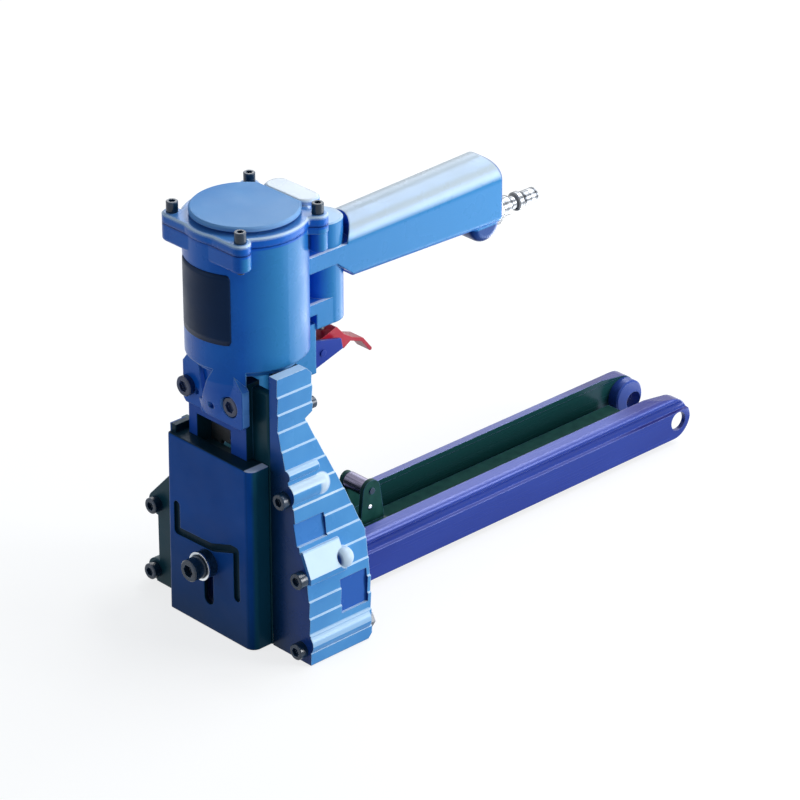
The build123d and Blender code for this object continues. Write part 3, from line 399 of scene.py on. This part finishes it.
# Driver: a steel crosshead on the rod with two legs, rollers and the flat staple blade.
# The clinchers that the rollers swing are hardened steel on ground pins.
hard_steel = turned_metal(
    "hard_steel", seen(92, 96, 102), seen(138, 142, 148), rough=(0.3, 0.5), grain_mm=0.8)
dress(hard_steel, "driver_yoke", "driver_blade", "clincher_right", "clincher_left", "nose_plate")
dress(bright_steel, "yoke_rollers", "blade_pin", "clincher_pins")
dress(turned_bronze, "clincher_spacers")


# Frames and left cover: machined steel plates and a low casting, bolted up under the cylinder.
# They have a thick near-black paint with a green cast; its paler edges are partly painted highlight.
# On the left cover this near-black is painted shade, for that cover stands in shadow.
# The pad on the front frame's face, beside the window, is painted blue.
PAD_FACE = (-0.0235, -0.024)
PAD_AHEAD = (-0.6, -0.8)
dark_paint, frame_paint = [
    enamel(
        name, seen(8, 48, 58), seen(12, 58, 74), seen(50, 86, 122), rough=(0.3, 0.44),
        tint=(0.2, 0.5, 0.6, 1.0), gloss=0.3, edge_mm=0.9)
    for name in ("dark_paint", "frame_paint")]
tree = frame_paint.node_tree
on_pad = along(tree, "Object", "Y", *PAD_FACE)
looks_ahead = along(tree, "Normal", "Y", *PAD_AHEAD)
repaint(frame_paint, all_of(tree, on_pad, looks_ahead), seen(34, 82, 178))
# Painted shade: the left cover is dressed in the near-black paint.
dress(dark_paint, "rear_frame", "side_housing_left")
dress(frame_paint, "front_frame")


# Right side housing: a finned die casting round the clincher, bolted on by its front edge.
# Its blue enamel is paler than the cylinder's; painted highlights make fin lips, foot bar, bosses and domes
# paler.
# Two patches on its side are painted darker as recess shade.
# Its front edge, beside the depth plate, is painted deep blue as shade, darker inwards and lighter near the
# top.
LOWER_PANEL_SHADE = (0.006, 0.0265, 0.025, 0.0465)
UPPER_PANEL_SHADE = (-0.019, 0.003, 0.074, 0.088)
FOOT_BAR_HIGHLIGHT = (-0.02, 0.0272, 0.0128, 0.0203)
BOSS_HIGHLIGHTS = ((-0.02, 0.016, 0.046, 0.07), (-0.02, 0.016, 0.092, 0.116))
DOME_HIGHLIGHTS = (((0.068, 0.0105, 0.059), 0.0072), ((0.0524, 0.005, 0.104), 0.008))
FRONT_IN, FRONT_OUT = 0.040, 0.064
UPPER_FRONT = (0.115, 0.135)
AHEAD, LIP_UPWARD, NOT_BACKWARD = (-0.55, -0.8), (0.33, 0.42), (0.4, 0.2)


def near(tree, middle, reach):
    """1 inside a ball round one point of the part."""
    place = tree.nodes.new("ShaderNodeTexCoord")
    gap = tree.nodes.new("ShaderNodeVectorMath")
    gap.operation = "DISTANCE"
    gap.inputs[1].default_value = middle
    tree.links.new(place.outputs["Object"], gap.inputs[0])
    ball = tree.nodes.new("ShaderNodeMapRange")
    ball.inputs["From Min"].default_value = reach
    ball.inputs["From Max"].default_value = reach * 0.9
    tree.links.new(gap.outputs["Value"], ball.inputs["Value"])
    return ball.outputs["Result"]


def panel(tree, front, back, low, high):
    """1 on the part of the housing's side between these places."""
    blur = 0.0003
    return all_of(
        tree, along(tree, "Object", "Y", front - blur, front), along(tree, "Object", "Y", back + blur, back),
        along(tree, "Object", "Z", low - blur, low), along(tree, "Object", "Z", high + blur, high))


housing_enamel = enamel(
    "housing_enamel", seen(74, 143, 206), seen(88, 157, 215), seen(206, 226, 242), rough=(0.2, 0.3),
    tint=(0.5, 0.75, 1.0, 1.0), gloss=0.2)
tree = housing_enamel.node_tree
# Painted shade: two patches of the side are darker, as recesses in shadow.
repaint(housing_enamel, panel(tree, *LOWER_PANEL_SHADE), seen(46, 98, 182))
repaint(housing_enamel, panel(tree, *UPPER_PANEL_SHADE), seen(66, 130, 202))
# Painted highlights on the foot bar, the fin lips, the bosses and the domes.
repaint(housing_enamel, panel(tree, *FOOT_BAR_HIGHLIGHT), seen(164, 202, 236))
looks_up = all_of(
    tree, along(tree, "Normal", "Z", *LIP_UPWARD), along(tree, "Normal", "Y", *NOT_BACKWARD))
repaint(housing_enamel, looks_up, seen(186, 214, 240))
for boss in BOSS_HIGHLIGHTS:
    repaint(housing_enamel, all_of(tree, looks_up, panel(tree, *boss)), seen(208, 227, 242))
for middle, reach in DOME_HIGHLIGHTS:
    repaint(housing_enamel, near(tree, middle, reach), seen(212, 228, 242))
# Painted shade on the front faces, darker inwards, with a lighter band near the top.
front_painted_shade = shade_between(
    tree, along(tree, "Object", "X", FRONT_IN, FRONT_OUT), seen(12, 44, 68), seen(24, 62, 134),
    start=0.0, end=1.0)
repaint(housing_enamel, along(tree, "Normal", "Y", *AHEAD), front_painted_shade)
upper_front_light = all_of(
    tree, along(tree, "Normal", "Y", *AHEAD), along(tree, "Object", "Z", *UPPER_FRONT))
repaint(housing_enamel, upper_front_light, seen(36, 92, 178))
dress(housing_enamel, "side_housing_right")


# Depth plate and knob: a folded steel cover in satin navy, held by a black socket knob.
# The plate darkens to the foot; its crease and folded side are painted dark as shade.
# Its upper corner carries a painted highlight.
# Collar and knob are black oxide and the washer between them is bright zinc, painted dark as shade round the
# collar.
PLATE_HIGH, PLATE_LOW = 0.075, -0.03
CREASE_FLOOR, CREASE_LEFT, CREASE_RIGHT = (-0.0334, -0.0330), (-0.034, -0.033), (0.035, 0.034)
CORNER_LOW, CORNER_LEFT = (0.116, 0.117), (0.0325, 0.0335)
FOLDED_SIDE, CORNER_UPWARD = (0.72, 0.92), (0.5, 0.7)
COLLAR_MIDDLE, COLLAR_SHADE_R = (0.0, -0.040, 0.0445), 0.0079
navy_satin = enamel(
    "navy_satin", seen(16, 74, 154), seen(24, 84, 168), seen(62, 110, 178), rough=(0.32, 0.46),
    tint=(0.1, 0.45, 1.0, 1.0), gloss=0.15, edge_mm=0.9, peel_mm=0.015)
tree = navy_satin.node_tree
repaint(navy_satin, along(tree, "Object", "Z", PLATE_HIGH, PLATE_LOW), seen(14, 46, 66))
# Painted shade on the plate's folded side and in its crease.
repaint(navy_satin, along(tree, "Normal", "X", *FOLDED_SIDE), seen(24, 80, 100))
crease_shade = all_of(
    tree, along(tree, "Object", "Y", *CREASE_FLOOR),
    along(tree, "Object", "X", *CREASE_LEFT), along(tree, "Object", "X", *CREASE_RIGHT))
repaint(navy_satin, crease_shade, seen(10, 36, 48))
# Painted highlight on the plate's upper corner.
corner_highlight = all_of(
    tree, along(tree, "Normal", "Z", *CORNER_UPWARD), along(tree, "Object", "Z", *CORNER_LOW),
    along(tree, "Object", "X", *CORNER_LEFT))
repaint(navy_satin, corner_highlight, seen(206, 212, 234))
washer_zinc = turned_metal("washer_zinc", seen(196, 204, 212), seen(236, 240, 244), rough=(0.14, 0.26))
# Painted shade on the washer's middle, round the collar.
repaint(washer_zinc, near(washer_zinc.node_tree, COLLAR_MIDDLE, COLLAR_SHADE_R), seen(34, 46, 58))
dress(navy_satin, "front_plate")
dress(screw_black, "depth_knob", "knob_collar")
dress(washer_zinc, "knob_washer")


# Trigger valve and trigger: a red-painted bent lever in a dark blue folded bracket.
# The lever pushes a plain steel stem up into a bronze bush.
trigger_red = enamel(
    "trigger_red", seen(164, 20, 44), seen(188, 32, 56), seen(240, 116, 112), rough=(0.26, 0.4),
    tint=(1.0, 0.5, 0.6, 1.0), gloss=0.4, edge_mm=0.45)
bracket_blue = enamel(
    "bracket_blue", seen(30, 56, 144), seen(40, 66, 158), seen(96, 116, 196), rough=(0.3, 0.44),
    tint=(0.3, 0.4, 1.0, 1.0), gloss=0.2, edge_mm=0.5)
dress(trigger_red, "trigger")
dress(bracket_blue, "trigger_bracket", "trigger_pin")
dress(bright_steel, "valve_stem", "valve_spring")
dress(turned_bronze, "valve_bush")


# Air plug: a turned and nickelled nipple screwed into the handle's end.
# Its hexagon and grooves are bright, with rings from the lathe and grey lines along the edges.
bright_nickel = turned_metal(
    "bright_nickel", seen(58, 62, 68), seen(158, 162, 168), rough=(0.2, 0.34), grain_mm=0.7,
    stretch=(1, 6, 1), stain_mm=3.0, stain_stretch=(0.06, 1, 0.06))
tree = bright_nickel.node_tree
# The edges and grooves are painted grey.
grey_edge_lines, _ = edge_mask(tree, width_mm=0.8, grit=mottle(tree, size_mm=2.0), reach=0.02)
repaint(bright_nickel, grey_edge_lines, seen(60, 64, 70))
dress(bright_nickel, "air_plug")


# Magazine rails: two long drawn steel sections with a rounded top and a coved side.
# They are stove-enamelled in indigo, with faint draw lines along their length.
# The crest is painted paler as a highlight up to the tail and darker as shade over it.
# The walls inside are near black.
CHANNEL_WALL_FROM, CHANNEL_WALL_TO = -0.012, -0.008
CREST_UPWARD = (0.45, 0.85)
TAIL = (0.275, 0.305)


def faces_channel(tree):
    """1 on the walls that look to the middle of the magazine."""
    place = tree.nodes.new("ShaderNodeTexCoord")
    spot = tree.nodes.new("ShaderNodeSeparateXYZ")
    ways = tree.nodes.new("ShaderNodeSeparateXYZ")
    tree.links.new(place.outputs["Object"], spot.inputs[0])
    tree.links.new(place.outputs["Normal"], ways.inputs[0])
    inward = tree.nodes.new("ShaderNodeMath")
    inward.operation = "MULTIPLY"
    tree.links.new(spot.outputs["X"], inward.inputs[0])
    tree.links.new(ways.outputs["X"], inward.inputs[1])
    side = tree.nodes.new("ShaderNodeMapRange")
    side.inputs["From Min"].default_value = CHANNEL_WALL_FROM
    side.inputs["From Max"].default_value = CHANNEL_WALL_TO
    side.inputs["To Min"].default_value = 1.0
    side.inputs["To Max"].default_value = 0.0
    tree.links.new(inward.outputs[0], side.inputs["Value"])
    return side.outputs["Result"]


def drawn_enamel(name, deep, bright, edge, rough, tint, inside):
    finish, tree, shader = blank_finish(name)
    lines = mottle(tree, size_mm=1.4, stretch=(1, 0.02, 1))
    cloud = mottle(tree, size_mm=30.0, stretch=(1, 0.25, 1))
    mask, eased = edge_mask(tree, width_mm=0.8, grit=mottle(tree, size_mm=6.0), reach=0.16)
    paint = mixed(tree, faces_channel(tree), shade_between(tree, cloud, deep, bright), inside)
    tree.links.new(mixed(tree, mask, paint, edge), shader.inputs["Base Color"])
    tree.links.new(spread(tree, lines, *rough), shader.inputs["Roughness"])
    tree.links.new(bumped(tree, lines, depth_mm=0.02, normal=eased), shader.inputs["Normal"])
    shader.inputs["Specular Tint"].default_value = tint
    shader.inputs["Specular IOR Level"].default_value = 0.4
    return finish


indigo_enamel = drawn_enamel(
    "indigo_enamel", seen(28, 52, 140), seen(38, 64, 154), seen(140, 150, 205), rough=(0.2, 0.3),
    tint=(0.38, 0.46, 1.0, 1.0), inside=seen(24, 68, 68))
tree = indigo_enamel.node_tree
# Painted highlight on the crest, and painted shade over the tail.
crest_highlight = along(tree, "Normal", "Z", *CREST_UPWARD)
repaint(indigo_enamel, crest_highlight, seen(98, 108, 180))
repaint(indigo_enamel, all_of(tree, crest_highlight, along(tree, "Object", "Y", *TAIL)), seen(54, 56, 128))
boss_enamel = enamel(
    "boss_enamel", seen(44, 70, 152), seen(54, 82, 164), seen(140, 150, 205), rough=(0.26, 0.36),
    tint=(0.5, 0.6, 1.0, 1.0), gloss=0.4, edge_mm=0.5)
dress(indigo_enamel, "magazine_rail_right", "magazine_rail_left")
dress(boss_enamel, "tail_boss")


# Magazine core, pusher and feed spring: blackened steel that runs between the rails.
# The spring is a thin steel strip wound on a pin between the pusher's ears.
slide_black = black_oxide(
    "slide_black", seen(18, 62, 58), seen(28, 74, 68), seen(84, 118, 160), rough=(0.4, 0.55), gloss=0.12)
spring_blue_black = turned_metal(
    "spring_blue_black", seen(34, 46, 62), seen(150, 144, 170), rough=(0.2, 0.34), grain_mm=0.6,
    stretch=(0.05, 1, 1), stain_mm=3.2, stain_stretch=(0.05, 1, 1))
dress(slide_black, "magazine_core", "pusher")
dress(spring_blue_black, "feed_spring")
dress(screw_black, "feed_pin")


# Ear rivet: a small bright steel rivet that holds the pusher's right ear to its saddle.
# Its head is a low dome set on the ear's outer face and it travels with the pusher.
RIVET_PLACE = (0.0115, 0.0846, 0.0414)
RIVET_R, RIVET_RISE = 0.0018, 0.0008


def domed_head(name, place, radius, rise):
    """A low dome on a short rim, looking to +X."""
    sides, rings, rim = 28, 6, 0.2
    head = bmesh.new()
    loops = []
    for ring in range(rings):
        slope = ring / rings * math.pi / 2
        out, up = radius * math.cos(slope), rise * (rim + (1 - rim) * math.sin(slope))
        loops.append([(up, out * math.cos(k * math.tau / sides), out * math.sin(k * math.tau / sides))
                      for k in range(sides)])
    loops.insert(0, [(0.0, y, z) for _, y, z in loops[0]])
    verts = [[head.verts.new(Vector(place) + Vector(spot)) for spot in loop] for loop in loops]
    for low, high in zip(verts, verts[1:]):
        for k in range(sides):
            head.faces.new((low[k], low[(k + 1) % sides], high[(k + 1) % sides], high[k]))
    head.faces.new(list(reversed(verts[0])))
    tip = head.verts.new(Vector(place) + Vector((rise, 0.0, 0.0)))
    for k in range(sides):
        head.faces.new((verts[-1][k], verts[-1][(k + 1) % sides], tip))
    return smooth_piece(name, head)


ear_rivet = domed_head("ear_rivet", RIVET_PLACE, RIVET_R, RIVET_RISE)
ear_rivet.data.materials.append(washer_zinc)
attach(ear_rivet, "pusher_slide")


# Studio: a plain white floor that keeps the shadow, a pale surround and soft lamps.
# The strongest lamp stands on the right and a wide one hangs above and behind the tool.
# Two low lamps behind it are what the barrel's right edge mirrors.
FLOOR_HALF, FLOOR_DROP = 6.0, -0.0005
FLOOR_GLOW, FLOOR_GREY = 0.77, (0.3, 0.3, 0.3, 1)
FLOOR_BOUNCE = (0.36, 0.43, 0.5, 1)
SURROUND_TINT, SURROUND_LEVEL = (0.62, 0.82, 1.0, 1), 0.27
floor_mesh = bpy.data.meshes.new("studio_floor")
floor_mesh.from_pydata(
    [(x * FLOOR_HALF, y * FLOOR_HALF, FLOOR_DROP) for x, y in ((-1, -1), (1, -1), (1, 1), (-1, 1))],
    [], [(0, 1, 2, 3)])
studio_floor = bpy.data.objects.new("studio_floor", floor_mesh)
bpy.context.scene.collection.objects.link(studio_floor)


def sees_background(tree):
    """1 for rays from the camera, from gloss and through glass, 0 for light that bounces."""
    path = tree.nodes.new("ShaderNodeLightPath")
    either = tree.nodes.new("ShaderNodeMath")
    either.operation = "MAXIMUM"
    any_of = tree.nodes.new("ShaderNodeMath")
    any_of.operation = "MAXIMUM"
    tree.links.new(path.outputs["Is Camera Ray"], either.inputs[0])
    tree.links.new(path.outputs["Is Glossy Ray"], either.inputs[1])
    tree.links.new(either.outputs[0], any_of.inputs[0])
    tree.links.new(path.outputs["Is Transmission Ray"], any_of.inputs[1])
    return any_of.outputs[0]


def choose_by_ray(tree, bounced, direct, surface):
    """One shader for light that bounces and another for what the camera sees."""
    choose = tree.nodes.new("ShaderNodeMixShader")
    tree.links.new(sees_background(tree), choose.inputs[0])
    tree.links.new(bounced.outputs[0], choose.inputs[1])
    tree.links.new(direct.outputs[0], choose.inputs[2])
    tree.links.new(choose.outputs[0], surface)


floor_white = bpy.data.materials.new("floor_white")
floor_white.use_nodes = True
tree = floor_white.node_tree
tree.nodes.remove(tree.nodes["Principled BSDF"])
glow = tree.nodes.new("ShaderNodeEmission")
glow.inputs["Strength"].default_value = FLOOR_GLOW
lit = tree.nodes.new("ShaderNodeBsdfDiffuse")
lit.inputs["Color"].default_value = FLOOR_GREY
both = tree.nodes.new("ShaderNodeAddShader")
tree.links.new(glow.outputs[0], both.inputs[0])
tree.links.new(lit.outputs[0], both.inputs[1])
bounced = tree.nodes.new("ShaderNodeBsdfDiffuse")
bounced.inputs["Color"].default_value = FLOOR_BOUNCE
choose_by_ray(tree, bounced, both, tree.nodes["Material Output"].inputs["Surface"])
floor_mesh.materials.append(floor_white)

surround = bpy.data.worlds.new("surround")
surround.use_nodes = True
tree = surround.node_tree
dim = tree.nodes["Background"]
dim.inputs["Color"].default_value = SURROUND_TINT
dim.inputs["Strength"].default_value = SURROUND_LEVEL
white = tree.nodes.new("ShaderNodeBackground")
white.inputs["Color"].default_value = (1, 1, 1, 1)
white.inputs["Strength"].default_value = 1.0
choose_by_ray(tree, dim, white, tree.nodes["World Output"].inputs["Surface"])
bpy.context.scene.world = surround


def soft_lamp(name, place, aim, wide, tall, watts, fan=180):
    lamp = bpy.data.lights.new(name, "AREA")
    lamp.shape = "RECTANGLE"
    lamp.size = wide
    lamp.size_y = tall
    lamp.energy = watts
    lamp.spread = math.radians(fan)
    stand = bpy.data.objects.new(name, lamp)
    stand.location = place
    stand.rotation_euler = (Vector(aim) - Vector(place)).to_track_quat("-Z", "Y").to_euler()
    stand.visible_camera = False
    bpy.context.scene.collection.objects.link(stand)


soft_lamp("right_lamp", (1.7, 1.3, 0.6), (0.03, 0.1, 0.12), wide=0.9, tall=0.9, watts=35)
soft_lamp("top_lamp", (0.15, 1.5, 1.95), (0.0, 0.1, 0.2), wide=1.7, tall=0.5, watts=28)
soft_lamp("back_lamp", (-1.4, 1.5, 1.25), (0.0, 0.1, 0.2), wide=1.0, tall=0.9, watts=8)
soft_lamp("low_lamp", (0.35, 0.43, 0.003), (0.35, 0.43, 1.0), wide=0.46, tall=0.34, watts=2.3, fan=145)
soft_lamp("low_back_lamp", (0.03, 0.45, 0.003), (0.03, 0.45, 1.0), wide=0.18, tall=0.16, watts=0.6, fan=145)
soft_lamp("front_lamp", (-0.9, -1.5, 0.9), (0.0, 0.0, 0.15), wide=1.0, tall=1.0, watts=4)


# Camera: as far away and as high as the photograph's, on the tool's right front.
# Its right, up and back directions are the ones the tool's edges give.
CAMERA_RIGHT = (0.6874, 0.7263, 0.0)
CAMERA_UP = (-0.3306, 0.3129, 0.8904)
CAMERA_BACK = (0.6467, -0.6121, 0.4552)
CAMERA_PLACE = (1.5456, -1.3427, 1.1845)
SENSOR_MM, LENS_MM = 36.0, 179.43
camera = bpy.data.cameras.new("camera")
camera.sensor_width = SENSOR_MM
camera.lens = LENS_MM
tripod = bpy.data.objects.new("camera", camera)
tripod.matrix_world = Matrix((CAMERA_RIGHT, CAMERA_UP, CAMERA_BACK)).transposed().to_4x4()
tripod.location = CAMERA_PLACE
bpy.context.scene.collection.objects.link(tripod)
bpy.context.scene.camera = tripod
bpy.context.scene.view_settings.view_transform = "Standard"
